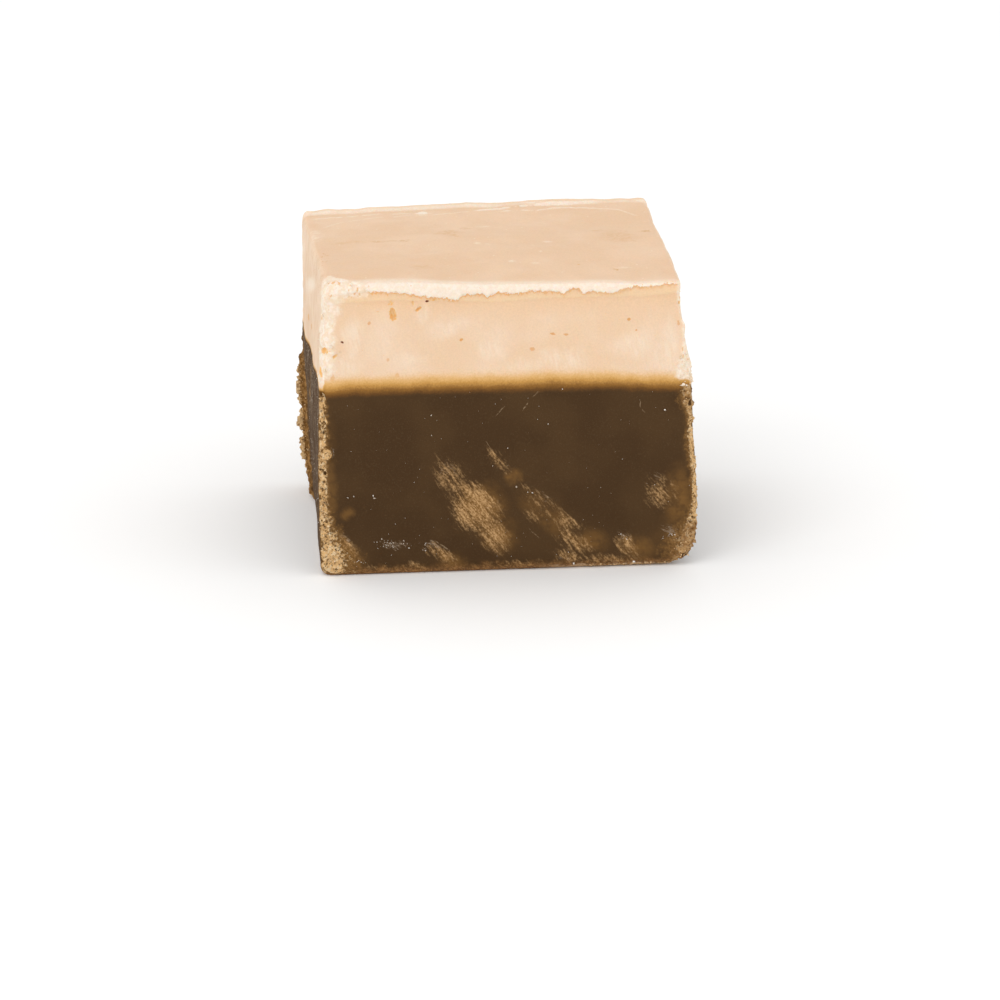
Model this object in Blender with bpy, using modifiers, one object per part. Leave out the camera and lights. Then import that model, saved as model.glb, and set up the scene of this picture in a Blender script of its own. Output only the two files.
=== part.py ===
"""A cube of two-layer fudge, cut with a knife from the edge row of a tray.

A dark chocolate layer carries a thinner pale layer. The front and both sides are knife cuts, the back is the
face that lay against the tray wall, and the top is the poured surface.
The cube stands on z = 0, centred on x = y = 0, with its front towards -Y. All lengths are in metres.
"""

from math import hypot

import bmesh
import bpy
from mathutils import Vector, noise

MM = 0.001

# Outline of the cube
HEIGHT = 26.3 * MM
DEPTH = 28.8 * MM
BASE_LEFT, BASE_RIGHT = -16.65 * MM, 17.05 * MM
SEAM_LEFT, SEAM_RIGHT = -16.45 * MM, 16.2 * MM
TOP_LEFT, TOP_RIGHT = -15.75 * MM, 15.15 * MM
TOP_FLARE = 0.65 * MM  # how much further out each top corner is at the back
BASE_TUCK = 1.2 * MM  # how much further in each bottom corner is at the back
TOP_TWIST = 0.25 * MM  # the front left and back right top corners stand this much higher
FOOT_SINK = 0.3 * MM  # the rounded foot is modelled this much too low, then cut flat

# Rounding of the edges
TRAY_RADIUS = 6.0 * MM  # bottom back edge, cast in the tray's corner
FOOT_RADIUS = 1.3 * MM
RIGHT_FOOT_RADIUS = 2.6 * MM
CUT_RADIUS = 0.6 * MM  # edges between two knife cuts, and round the top

# The seam between the layers
SEAM_HEIGHT = 16.9 * MM
SEAM_FALL = 0.035  # the seam falls towards the back
SEAM_WAVE = 0.35 * MM
SEAM_WAVE_LENGTH = 9.0 * MM
LAYER_GAP = 0.3 * MM

# Relief
VOXEL = 0.42 * MM
SWELL, SWELL_LENGTH = 0.7 * MM, 11.0 * MM
DIMPLE, DIMPLE_LENGTH = 0.16 * MM, 2.6 * MM
CRUST_DEPTH, CRUST_LENGTH = 0.75 * MM, 0.8 * MM
LIP_REACH = 0.5 * MM
LIP_HEIGHT = 1.15 * MM
RIDGE_RISE = 0.5 * MM
RIDGE_WIDTH = 1.6 * MM
FIN_REACH = 1.15 * MM
FIN_TOP = 0.85  # share of the seam's height
CRUMB_PLACE = (-16.75 * MM, -14.6 * MM, 11.2 * MM)
CRUMB_SIZE = 1.1 * MM
CRUMB_REACH = 0.6 * MM

PALE_TRIANGLES = 4600
DARK_TRIANGLES = 6200
PALE_COLOUR = (0.86, 0.62, 0.41, 1.0)
DARK_COLOUR = (0.075, 0.040, 0.018, 1.0)


def seam_at(x, y):
    """Height of the seam between the layers."""
    wave = noise.noise(Vector((x, y, 0.0)) / SEAM_WAVE_LENGTH)
    return SEAM_HEIGHT - SEAM_FALL * (y + DEPTH / 2) + SEAM_WAVE * wave


def smooth(value, low, high):
    """0 below low, 1 above high, and a smooth step between them."""
    share = min(1.0, max(0.0, (value - low) / (high - low)))
    return share * share * (3 - 2 * share)


def new_collection(name):
    collection = bpy.data.collections.new(name)
    bpy.context.scene.collection.children.link(collection)
    return collection


def new_object(name, mesh, collection):
    made = bpy.data.objects.new(name, mesh)
    collection.objects.link(made)
    return made


def evaluated_mesh(obj):
    """The object's mesh with its modifiers, as a new mesh."""
    bpy.context.view_layer.update()
    graph = bpy.context.evaluated_depsgraph_get()
    return bpy.data.meshes.new_from_object(obj.evaluated_get(graph))


def fudge_material(name, colour, roughness):
    material = bpy.data.materials.new(name)
    material.use_nodes = True
    shader = material.node_tree.nodes["Principled BSDF"]
    shader.inputs["Base Color"].default_value = colour
    shader.inputs["Roughness"].default_value = roughness
    shader.inputs["Metallic"].default_value = 0.0
    return material


def place_corner(vert):
    """Moves a corner of the unit cage to its place at the foot, the seam or the top."""
    right, back, level = vert.co.x > 0, vert.co.y > 0, vert.co.z
    side = 1 if right else -1
    if level < 0.25:
        x = (BASE_RIGHT if right else BASE_LEFT) - (side * BASE_TUCK if back else 0.0)
        z = -FOOT_SINK
    elif level < 0.75:
        x = SEAM_RIGHT if right else SEAM_LEFT
        z = SEAM_HEIGHT
    else:
        x = (TOP_RIGHT if right else TOP_LEFT) + (side * TOP_FLARE if back else 0.0)
        z = HEIGHT + (TOP_TWIST if right == back else -TOP_TWIST)
    vert.co = (x, DEPTH / 2 if back else -DEPTH / 2, z)


def edge_radius(edge):
    """Radius of a cage edge, by where it lies."""
    low, high = sorted(vert.co.z for vert in edge.verts)
    middle = (edge.verts[0].co + edge.verts[1].co) / 2
    if high - low > SEAM_HEIGHT / 4 or low > (SEAM_HEIGHT + HEIGHT) / 2:
        return CUT_RADIUS
    if low > SEAM_HEIGHT / 2:
        return 0.0
    if middle.y > DEPTH / 4:
        return TRAY_RADIUS
    return RIGHT_FOOT_RADIUS if middle.x > DEPTH / 4 else FOOT_RADIUS


def cut_block(collection):
    """The whole cube before its layers are parted: a tapered cage with rounded edges, remeshed evenly."""
    mesh = bpy.data.meshes.new("block_cage")
    cage = bmesh.new()
    bmesh.ops.create_cube(cage, size=1.0)
    bmesh.ops.translate(cage, verts=cage.verts, vec=(0, 0, 0.5))
    bmesh.ops.bisect_plane(
        cage,
        geom=cage.verts[:] + cage.edges[:] + cage.faces[:],
        plane_co=(0, 0, 0.5),
        plane_no=(0, 0, 1),
    )
    for vert in cage.verts:
        place_corner(vert)
    weight = cage.edges.layers.float.new("bevel_weight_edge")
    for edge in cage.edges:
        edge[weight] = edge_radius(edge) / TRAY_RADIUS
    cage.to_mesh(mesh)
    cage.free()

    block = new_object("block", mesh, collection)
    rounding = block.modifiers.new("edge_rounding", "BEVEL")
    rounding.limit_method = "WEIGHT"
    rounding.width = TRAY_RADIUS
    rounding.segments = 6
    even = block.modifiers.new("even_faces", "REMESH")
    even.mode = "VOXEL"
    even.voxel_size = VOXEL
    block_mesh = evaluated_mesh(block)
    bpy.data.objects.remove(block)
    return new_object("block", block_mesh, collection)


def side_planes(point):
    """Distances from a point to the left, right, front and back faces, each positive inside."""
    back_share = point.y / DEPTH + 0.5
    if point.z < SEAM_HEIGHT:
        share = point.z / SEAM_HEIGHT
        tuck = BASE_TUCK * back_share * (1 - share)
        left = BASE_LEFT + (SEAM_LEFT - BASE_LEFT) * share + tuck
        right = BASE_RIGHT + (SEAM_RIGHT - BASE_RIGHT) * share - tuck
    else:
        share = (point.z - SEAM_HEIGHT) / (HEIGHT - SEAM_HEIGHT)
        flare = TOP_FLARE * back_share * share
        left = SEAM_LEFT + (TOP_LEFT - SEAM_LEFT) * share - flare
        right = SEAM_RIGHT + (TOP_RIGHT - SEAM_RIGHT) * share + flare
    back = DEPTH / 2 - point.y
    if point.z < TRAY_RADIUS and back < TRAY_RADIUS:
        back = TRAY_RADIUS - hypot(TRAY_RADIUS - point.z, TRAY_RADIUS - back)
    return point.x - left, right - point.x, point.y + DEPTH / 2, back


def ragged(position, length, seed):
    """A ragged line: noise of two sizes, about -1 to 1, along one coordinate."""
    coarse = noise.noise(Vector((position / length, seed, 0.0)))
    fine = noise.noise(Vector((position / length * 3.7, seed, 5.0)))
    return coarse + 0.5 * fine


def faces_weight(point):
    """Everything but the foot, which stays flat."""
    return smooth(point.z, 0.0, 1.5 * MM)


def crust_weight(point):
    """The crumbly crust on the upright edges of the dark layer and along its foot."""
    left, right, front, back = side_planes(point)
    width = 1.0 * MM * (1 + 0.5 * ragged(point.z, 3 * MM, 1.0))
    near_side = 1 - smooth(min(left, right), width * 0.6, width * 1.3)
    near_end = 1 - smooth(min(front, back), width * 0.6, width * 1.3)
    seam = seam_at(point.x, point.y)
    upright = near_side * near_end * (1 - smooth(point.z, seam, seam + MM))
    foot = (1 - smooth(point.z, 0.5 * MM, 1.6 * MM)) * max(near_side, near_end) * 0.8
    return max(upright, foot) * smooth(point.z, 0.0, 0.5 * MM)


def lip_weight(point):
    """The lip that the knife pushed up along the top front edge, thinning out to the right."""
    front = point.y + DEPTH / 2
    taper = 1 - 0.75 * smooth(point.x, 6 * MM, 15 * MM)
    bottom = HEIGHT - LIP_HEIGHT * taper - 0.3 * MM * ragged(point.x, 2.2 * MM, 7.0)
    return smooth(point.z, bottom - 0.25 * MM, bottom + 0.15 * MM) * (1 - smooth(front, 0.2 * MM, 1.6 * MM))


def ridge_weight(point):
    """The low ridge where the poured top met the tray wall."""
    _, _, _, back = side_planes(point)
    height = 0.6 + 0.4 * ragged(point.x, 5 * MM, 17.0)
    top = smooth(point.z, HEIGHT - 1.2 * MM, HEIGHT - 0.3 * MM)
    return max(0.0, height) * top * (1 - smooth(back, RIDGE_WIDTH * 0.4, RIDGE_WIDTH))


def fin_weight(point):
    """The ragged fin left on the back edges of the dark layer, where the cut met the tray wall."""
    left, right, _, back = side_planes(point)
    seam = seam_at(point.x, point.y)
    band = smooth(point.z, 0.4 * MM, 1.8 * MM) * (1 - smooth(point.z, seam * (FIN_TOP - 0.2), seam * FIN_TOP))
    wave = max(0.0, 0.6 + 0.4 * ragged(point.z, 2.4 * MM, 3.0 if point.x > 0 else 11.0))
    near_side = 1 - smooth(min(left, right), 0.1 * MM, 0.8 * MM)
    return wave * band * near_side * (1 - smooth(back, 0.9 * MM, 2.0 * MM))


def crumb_weight(point):
    """One large crumb that clings to the front left edge."""
    away = (point - Vector(CRUMB_PLACE)).length
    return 1 - smooth(away, CRUMB_SIZE * 0.3, CRUMB_SIZE)


def add_group(obj, name, weight_of):
    """A vertex group whose weights are a function of the place."""
    group = obj.vertex_groups.new(name=name)
    for vert in obj.data.vertices:
        weight = weight_of(vert.co)
        if weight > 0.001:
            group.add([vert.index], weight, "REPLACE")


def clouds(name, length):
    texture = bpy.data.textures.new(name, "CLOUDS")
    texture.noise_scale = length
    texture.noise_depth = 1
    return texture


def displace(obj, group, strength, texture=None, direction="NORMAL"):
    """Relief on a vertex group: a push by strength, or a texture's hills and hollows strength deep."""
    relief = obj.modifiers.new(group, "DISPLACE")
    relief.vertex_group = group
    relief.strength = strength
    relief.direction = direction
    relief.mid_level = 0.5 if texture else 0.0
    relief.texture = texture


def rough_block(block):
    """Gives the block its swells, dimples, lip, ridge, fins, large crumb and crust."""
    groups = {
        "faces": faces_weight,
        "lip": lip_weight,
        "ridge": ridge_weight,
        "fin": fin_weight,
        "crumb": crumb_weight,
        "crust": crust_weight,
    }
    for name, weight_of in groups.items():
        add_group(block, name, weight_of)
    displace(block, "faces", SWELL, clouds("swell", SWELL_LENGTH))
    displace(block, "faces", DIMPLE, clouds("dimple", DIMPLE_LENGTH))
    displace(block, "lip", -LIP_REACH, direction="Y")
    displace(block, "ridge", RIDGE_RISE, direction="Z")
    displace(block, "fin", FIN_REACH)
    displace(block, "crumb", CRUMB_REACH)
    displace(block, "crust", CRUST_DEPTH, clouds("crust", CRUST_LENGTH))
    rough = new_object("rough_block", evaluated_mesh(block), block.users_collection[0])
    bpy.data.objects.remove(block)
    rough.hide_render = True
    rough.display_type = "WIRE"
    return rough


def layer_cutter(name, collection, low, high):
    """A block wider than the cube, between two surfaces given as functions of x and y."""
    steps = 24
    mesh = bpy.data.meshes.new(name)
    grid = bmesh.new()
    bmesh.ops.create_grid(grid, x_segments=steps, y_segments=steps, size=DEPTH * 0.75)
    lower = list(grid.verts)
    made = bmesh.ops.extrude_face_region(grid, geom=grid.faces[:])
    upper = [item for item in made["geom"] if isinstance(item, bmesh.types.BMVert)]
    for verts, surface in ((lower, low), (upper, high)):
        for vert in verts:
            vert.co.z = surface(vert.co.x, vert.co.y)
    bmesh.ops.recalc_face_normals(grid, faces=grid.faces[:])
    grid.to_mesh(mesh)
    grid.free()
    cutter = new_object(name, mesh, collection)
    cutter.hide_render = True
    cutter.display_type = "WIRE"
    return cutter


def fudge_layer(name, rough, cutter, triangles, material, collection):
    """One layer: the part of the rough block inside its cutter, with few faces where it is smooth."""
    layer = new_object(name, rough.data.copy(), collection)
    layer.data.materials.clear()
    layer.data.materials.append(material)
    part = layer.modifiers.new("part_layer", "BOOLEAN")
    part.operation = "INTERSECT"
    part.object = cutter
    before = evaluated_mesh(layer)
    before.calc_loop_triangles()
    thin = layer.modifiers.new("thin_faces", "DECIMATE")
    thin.ratio = triangles / len(before.loop_triangles)
    thin.use_collapse_triangulate = True
    layer.data.shade_smooth()
    return layer


def main():
    for obj in list(bpy.data.objects):
        bpy.data.objects.remove(obj)
    fudge = new_collection("fudge_cube")
    cutters = new_collection("cutters")
    rough = rough_block(cut_block(cutters))
    top = HEIGHT * 1.5
    pale_cutter = layer_cutter(
        "pale_cutter", cutters, lambda x, y: seam_at(x, y) + LAYER_GAP / 2, lambda x, y: top
    )
    dark_cutter = layer_cutter(
        "dark_cutter", cutters, lambda x, y: 0.0, lambda x, y: seam_at(x, y) - LAYER_GAP / 2
    )
    pale_fudge = fudge_material("pale_fudge", PALE_COLOUR, 0.5)
    dark_fudge = fudge_material("dark_fudge", DARK_COLOUR, 0.42)
    fudge_layer("pale_layer", rough, pale_cutter, PALE_TRIANGLES, pale_fudge, fudge)
    fudge_layer("dark_layer", rough, dark_cutter, DARK_TRIANGLES, dark_fudge, fudge)


main()
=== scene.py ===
import itertools
import math

import bmesh
import bpy
import numpy as np
from mathutils import Matrix, Vector, noise
from mathutils.bvhtree import BVHTree
from mathutils.kdtree import KDTree


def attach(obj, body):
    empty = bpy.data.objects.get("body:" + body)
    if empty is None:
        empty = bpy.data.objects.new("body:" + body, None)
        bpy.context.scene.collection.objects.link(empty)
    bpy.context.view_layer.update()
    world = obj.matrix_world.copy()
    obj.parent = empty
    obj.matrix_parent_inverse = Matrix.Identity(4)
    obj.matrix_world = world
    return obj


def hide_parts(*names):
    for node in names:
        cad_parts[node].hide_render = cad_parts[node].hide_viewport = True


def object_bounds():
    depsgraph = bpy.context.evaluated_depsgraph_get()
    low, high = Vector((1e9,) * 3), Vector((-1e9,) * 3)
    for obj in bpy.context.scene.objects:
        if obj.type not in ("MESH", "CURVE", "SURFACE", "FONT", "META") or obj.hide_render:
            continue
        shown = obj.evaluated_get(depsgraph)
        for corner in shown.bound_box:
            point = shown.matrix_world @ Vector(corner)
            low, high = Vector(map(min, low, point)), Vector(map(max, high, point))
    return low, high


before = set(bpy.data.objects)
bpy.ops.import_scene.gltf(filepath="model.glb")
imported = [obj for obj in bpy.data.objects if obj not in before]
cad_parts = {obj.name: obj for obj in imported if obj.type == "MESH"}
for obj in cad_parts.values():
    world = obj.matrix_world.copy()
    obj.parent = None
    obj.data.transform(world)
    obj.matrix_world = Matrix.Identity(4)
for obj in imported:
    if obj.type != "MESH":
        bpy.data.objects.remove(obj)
packed_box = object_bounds()

# The cube is shaped in millimetres and brought to metres when it is done.
MM = 0.001
BOX_LOW, BOX_HIGH = (np.array(corner) / MM for corner in packed_box)
HEIGHT, DEPTH, SEAM_HEIGHT = 26.3, 28.8, 16.9
FRONT, BACK = -DEPTH / 2, DEPTH / 2
# Left and right edge of the front at its foot, its seam and its top
BASE, SEAM, TOP = (-16.65, 17.05), (-16.45, 16.2), (-15.75, 15.15)
# How far the back is wider at the top and narrower at the foot, and how far the corners stand up or down
TOP_FLARE, BASE_TUCK, TOP_TWIST, FOOT_SINK, RIGHT_FOOT_SINK = 0.65, 1.2, 0.25, 0.3, 0.05
# Radii of the foot at the back, at the front and left, and at the right
TRAY_RADIUS, FOOT_RADIUS, RIGHT_FOOT_RADIUS = 6.0, 1.3, 4.0
# Radii of the cut edges, and of the pale layer's upright edges at the back and at the front left
CUT_RADIUS, BACK_RADIUS, LEFT_RADIUS = 0.6, 1.4, 1.2
# The seam falls towards the back in gentle waves; it is read from a grid with this many steps.
SEAM_FALL, SEAM_WAVE, SEAM_WAVE_LENGTH, SEAM_STEPS = 0.035, 0.35, 9.0, 24
# The slab that cuts the layers reaches this far above the seam.
SLAB_HEIGHT = 16
# Middle and reach of the one large crumb
CRUMB_PLACE, CRUMB_REACH = (-15.85, -14.55, 11.35), (0.62, 1.0, 0.85)
SMALL_PORE_COUNT = 420
# How far a grain can reach from its middle, and how unlike its three sizes are, in grain sizes
GRAIN_REACH, GRAIN_STRETCH = 0.85, 0.35
# Edges sharper than this many degrees stay sharp.
SMOOTH_ANGLE = 65

VOXEL = 0.135
LAYER_TRIANGLES = 192000

# How far the seam stands above its plain wave along the front: x and height
SEAM_LIFT = [
    (-22, -0.1), (-15.5, 0.12), (-14, 0.2), (-12.5, 0.16), (-10.5, 0.06), (-7.5, -0.02), (-4, -0.1),
    (-1, 0.05), (1.5, 0.14), (3.3, 0.32), (5.5, 0.12), (8.5, -0.06), (11, -0.3), (14, -0.26), (22, -0.1),
]
# Width of the crust band on the front edges of the dark layer: height and width
LEFT_CRUST = [
    (0, 2.4), (1.2, 2.5), (2.1, 2.2), (3.2, 1.5), (4.9, 1.1), (6.2, 0.7), (11, 0.56), (13.5, 0.56),
    (16.9, 0.45),
]
RIGHT_CRUST = [
    (0, 0.15), (0.6, 0.25), (1.4, 0.9), (2.4, 1.4), (3.6, 1.4), (4.6, 0.7), (6.3, 0.4), (8.5, 0.42),
    (11.1, 0.6), (14, 0.55), (15.4, 1), (16.9, 0.9),
]
# How far the fin on the back left edge stands out: height and reach
FIN_LINE = [
    (0, 0.2), (1.8, 0.55), (3.4, 1), (5.2, 0.95), (6.3, 1.22), (7.2, 0.82), (8.1, 0.98), (9.5, 1.1),
    (10.8, 0.86), (11.6, 0.72), (12.4, 0.4), (14, 0.25), (15.5, 0.14), (16.9, 0),
]
# Where the ragged lower edge of the front lip runs, and the soft crease under it: x and height
LIP_LINE = [
    (-17, 25.1), (-15.6, 25.3), (-14, 25.75), (-12, 25.8), (-9, 25.6), (-7.5, 25.25), (-5.6, 25.05),
    (-4.5, 24.8), (-4, 25.28), (-2.4, 25.28), (-1.6, 25.1), (-0.9, 25.42), (0.6, 25.22), (2.2, 25.5),
    (3.3, 25.36), (4.2, 25.33), (4.8, 25.1), (5.3, 25.56), (6.1, 25.54), (6.6, 25.12), (7.3, 25.3),
    (8.6, 25.1), (9.3, 25.15), (10.2, 25.45), (11, 25.66), (12.2, 25.6), (13.8, 25.8), (17, 25.7),
]
CREASE_LINE = [
    (-17, 24.6), (-13, 24.85), (-10, 24.95), (-5, 24.7), (-1, 24.5), (4, 24.75), (12, 24.7), (17, 25.1),
]
# Pits in the pale front: x, height, half width, half height, lean, depth
PITS = [
    (-10.05, 23.7, 0.3, 0.62, 0.12, 0.6), (-10.2, 24.7, 0.26, 0.36, 0, 0.14),
    (-7.8, 24.12, 0.15, 0.42, -0.95, 0.34), (-8.3, 24.66, 0.13, 0.24, 0.2, 0.26),
    (-6.5, 24.95, 0.5, 0.1, 0.1, 0.18), (-15.95, 20.5, 0.34, 0.26, 0.5, 0.5),
    (-15.08, 20.05, 0.12, 0.32, -0.9, 0.3), (-14.69, 20.45, 0.1, 0.14, 0, 0.2),
    (-16.5, 22.5, 0.14, 0.36, 0.05, 0.4), (-16.3, 18.5, 0.14, 0.5, 0.15, 0.35),
    (-11.3, 24, 0.2, 0.14, 0, 0.1), (15, 24, 0.12, 0.2, 0, 0.25),
]
# Large pores in the crust at the lower left corner: x, height and radius
PORES = [
    (-16.32, 4.46, 0.24), (-16.29, 4, 0.22), (-16.6, 5.6, 0.18), (-15.69, 1.42, 0.26), (-15.42, 1.62, 0.2),
    (-16.3, 3.08, 0.18), (-15.83, 1.2, 0.17), (-16.55, 6, 0.15), (-16.2, 2.3, 0.2), (-15.2, 2.4, 0.14),
]
# Raised folds in the skin of the poured top: half width, height, and points x and y along each
FOLDS = [
    (0.2, 0.05, [(-15.4, 11.75), (-13.2, 11.6), (-11.3, 11.9), (-8.6, 11.6), (-5.9, 11.3)]),
    (0.16, 0.04, [
        (-14.7, 7.7), (-12.6, 9.4), (-10.7, 10.2), (-8.5, 10.1), (-6.5, 10.3), (-2.8, 11), (-0.3, 11.9),
    ]),
    (0.3, 0.08, [(-0.3, 12), (2.4, 12.5), (5.4, 13.1), (8.5, 13.1)]),
    (0.18, 0.05, [(2, 11.6), (5, 11.4), (8, 12.2), (9.6, 11.9), (11.2, 11.1), (12.6, 10.2), (14, 8.6)]),
    (0.5, 0.16, [(-5.8, 11.5), (-5.3, 11.7), (-4.8, 11.5)]),
]

rng = np.random.default_rng(7)


# Small helpers

def ease(value, low, high):
    """0 below low, 1 above high, and a smooth step between them."""
    share = np.clip((value - low) / (high - low), 0.0, 1.0)
    return share * share * (3 - 2 * share)


def fade(value, low, high):
    """1 below low, 0 above high, and a smooth step between them."""
    return 1 - ease(value, low, high)


def line_at(line, x):
    """Reads a line given as points, at x."""
    return np.interp(x, [point[0] for point in line], [point[1] for point in line])


def ragged(position, length, seed):
    """A ragged line along one coordinate: noise of two sizes, about -1 to 1."""
    steps = np.linspace(-30.0, 60.0, 4501)
    broad = np.array([noise.noise(Vector((s / length, seed, 0.0))) for s in steps])
    fine = np.array([noise.noise(Vector((s / length * 3.7, seed, 5.0))) for s in steps])
    return np.interp(position, steps, broad + 0.5 * fine)


def plain_seam(x, y):
    """Height of the seam's fall and waves, without its lift along the front."""
    wave = noise.noise(Vector((x, y, 0.0)) / SEAM_WAVE_LENGTH)
    return SEAM_HEIGHT - SEAM_FALL * (y - FRONT) + SEAM_WAVE * wave


def seam_table():
    """The seam's height on the grid of the surface that parts the layers."""
    reach = DEPTH * 0.75
    steps = np.linspace(-reach, reach, SEAM_STEPS + 1)
    rows = [[plain_seam(x, y) for x in steps] for y in steps]
    lift = line_at(SEAM_LIFT, steps)[None, :] * fade(steps, FRONT + 2, 4.0)[:, None]
    return steps, np.array(rows) + lift


SEAM_GRID = seam_table()


def seam_at(x, y):
    """Height of the seam between the layers, read from the grid."""
    steps, rows = SEAM_GRID
    gap = steps[1] - steps[0]
    column = np.clip((x - steps[0]) / gap, 0, SEAM_STEPS - 1e-6)
    row = np.clip((y - steps[0]) / gap, 0, SEAM_STEPS - 1e-6)
    i, j = column.astype(int), row.astype(int)
    u, v = column - i, row - j
    near = rows[j, i] * (1 - u) + rows[j, i + 1] * u
    far = rows[j + 1, i] * (1 - u) + rows[j + 1, i + 1] * u
    return near * (1 - v) + far * v


def rounded_off(away, z, radius):
    """Distance to a face whose bottom edge is rounded, from the distance to the plain face."""
    corner = radius - np.hypot(radius - z, radius - away)
    return np.where((z < radius) & (away < radius), corner, away)


def side_distances(p):
    """Distances from points to the left, right, front and back faces, each positive inside."""
    x, y, z = p.T
    back_share = y / DEPTH + 0.5
    low = np.clip(z / SEAM_HEIGHT, 0, 1)
    high = np.clip((z - SEAM_HEIGHT) / (HEIGHT - SEAM_HEIGHT), 0, 1)
    tuck = BASE_TUCK * back_share * (1 - low)
    flare = TOP_FLARE * back_share * high
    left = BASE[0] + (SEAM[0] - BASE[0]) * low + (TOP[0] - SEAM[0]) * high + tuck - flare
    right = BASE[1] + (SEAM[1] - BASE[1]) * low + (TOP[1] - SEAM[1]) * high - tuck + flare
    from_right = rounded_off(right - x, z, RIGHT_FOOT_RADIUS)
    return x - left, from_right, y - FRONT, rounded_off(BACK - y, z, TRAY_RADIUS)


def points_of(obj):
    """The object's points, in its own units."""
    flat = np.empty(len(obj.data.vertices) * 3)
    obj.data.vertices.foreach_get("co", flat)
    return flat.reshape(-1, 3)


def pick_only(*objects):
    """Selects these objects and no others; the last is the active one."""
    if bpy.context.mode != "OBJECT":
        bpy.ops.object.mode_set(mode="OBJECT")
    bpy.ops.object.select_all(action="DESELECT")
    for obj in objects:
        obj.select_set(True)
        bpy.context.view_layer.objects.active = obj


def finish_with(obj, kind, **settings):
    """Adds a modifier with these settings and applies it."""
    pick_only(obj)
    modifier = obj.modifiers.new(kind.lower(), kind)
    for name, value in settings.items():
        setattr(modifier, name, value)
    bpy.ops.object.modifier_apply(modifier=modifier.name)


def edit(obj, select_mode="VERT"):
    """Opens the object in edit mode with nothing selected."""
    pick_only(obj)
    bpy.ops.object.mode_set(mode="EDIT")
    bpy.ops.mesh.select_mode(type=select_mode)
    bpy.ops.mesh.select_all(action="DESELECT")
    return bmesh.from_edit_mesh(obj.data)


# The block, before its layers are parted

def pull_corners(block):
    """Draws the corners of the unit cube out to the foot, the seam and the top of the fudge."""
    levels = {
        0.0: (BASE, -BASE_TUCK, -FOOT_SINK),
        0.5: (SEAM, 0.0, SEAM_HEIGHT),
        1.0: (TOP, TOP_FLARE, HEIGHT),
    }
    for (level, (edges, spread, height)), side, end in itertools.product(levels.items(), (0, 1), (0, 1)):
        work = edit(block)
        start = Vector((side - 0.5, end - 0.5, level))
        for vert in work.verts:
            vert.select_set((vert.co - start).length < 0.01)
        work.select_flush(True)
        bmesh.update_edit_mesh(block.data)
        twist = (TOP_TWIST if side == end else -TOP_TWIST) if level == 1.0 else 0.0
        out = (spread if end else 0.0) * (1 if side else -1)
        if level == 0.0 and side:
            height = -RIGHT_FOOT_SINK
        place = Vector((edges[side] + out, (FRONT, BACK)[end], height + twist))
        bpy.ops.transform.translate(value=place - start)
    pick_only(block)


def edge_radius(ends):
    """Radius of one of the block's edges, by where it lies."""
    low, high = sorted(point.z for point in ends)
    middle = (ends[0] + ends[1]) / 2
    if high - low > SEAM_HEIGHT / 4 and low > SEAM_HEIGHT / 2 and (middle.y > 0 or middle.x < 0):
        return BACK_RADIUS if middle.y > 0 else LEFT_RADIUS
    if high - low > SEAM_HEIGHT / 4 or low > (SEAM_HEIGHT + HEIGHT) / 2:
        return CUT_RADIUS
    if low > SEAM_HEIGHT / 2:
        return 0.0
    if middle.y > DEPTH / 4:
        return TRAY_RADIUS
    return RIGHT_FOOT_RADIUS if middle.x > DEPTH / 4 else FOOT_RADIUS


def plain_block():
    """The cube of fudge with smooth faces: tapered, its edges rounded, and its faces made fine and even."""
    pick_only()
    bpy.ops.mesh.primitive_cube_add(size=1, location=(0, 0, 0.5))
    block = bpy.context.object
    block.name = "fudge_block"
    bpy.ops.object.transform_apply(location=True, rotation=True, scale=True)
    edit(block)
    bpy.ops.mesh.select_all(action="SELECT")
    bpy.ops.mesh.bisect(plane_co=(0, 0, 0.5), plane_no=(0, 0, 1))
    pull_corners(block)
    for radius in (TRAY_RADIUS, RIGHT_FOOT_RADIUS, FOOT_RADIUS, BACK_RADIUS, LEFT_RADIUS, CUT_RADIUS):
        work = edit(block, "EDGE")
        for edge in work.edges:
            edge.select_set(edge_radius([vert.co for vert in edge.verts]) == radius)
        bmesh.update_edit_mesh(block.data)
        bpy.ops.transform.edge_bevelweight(value=radius / TRAY_RADIUS)
    finish_with(block, "BEVEL", limit_method="WEIGHT", width=TRAY_RADIUS, segments=6)
    finish_with(block, "REMESH", mode="VOXEL", voxel_size=VOXEL)
    return block


# Where each kind of relief and finish lies, as weights of 0 to 1

def crust_depth(p):
    """How deep in the crust a place lies: 1 at the upright edge, 0 where the crust ends, less beyond it."""
    left, right, front, back = side_distances(p)
    x, y, z = p.T
    side, end = np.minimum(left, right), np.minimum(front, back)
    measured = np.where(x < 0, line_at(LEFT_CRUST, z), line_at(RIGHT_CRUST, z))
    reach = np.where(y < 0, measured, 0.8 + 0.25 * ragged(z, 3.0, 1.0))
    deep = np.minimum(1 - side / reach, 1 - end / 0.6)
    deep = np.maximum(deep, 2.6 * crumb_weight(p) - 1.6)
    return np.clip(deep, -1.5, 1.0)


def crust_limit(p):
    """1 on the dark layer between its foot and the seam."""
    seam = seam_at(p[:, 0], p[:, 1])
    return fade(p[:, 2], seam - 0.2, seam + 0.3) * ease(p[:, 2], 0.0, 0.4)


def crust_weight(p):
    """The crumbly crust on the upright edges of the dark layer."""
    torn = 0.3 * ragged(p[:, 2] + 0.6 * p[:, 0], 0.6, 2.0) + 0.15 * ragged(p[:, 2] - p[:, 1], 0.25, 4.0)
    return ease(crust_depth(p) + torn, -0.05, 0.25) * crust_limit(p)


def lip_edge(x):
    """Height of the lip's ragged lower edge."""
    return line_at(LIP_LINE, x) + 0.14 * ragged(x, 0.42, 7.0) + 0.12 * ragged(x, 0.24, 8.0)


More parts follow.
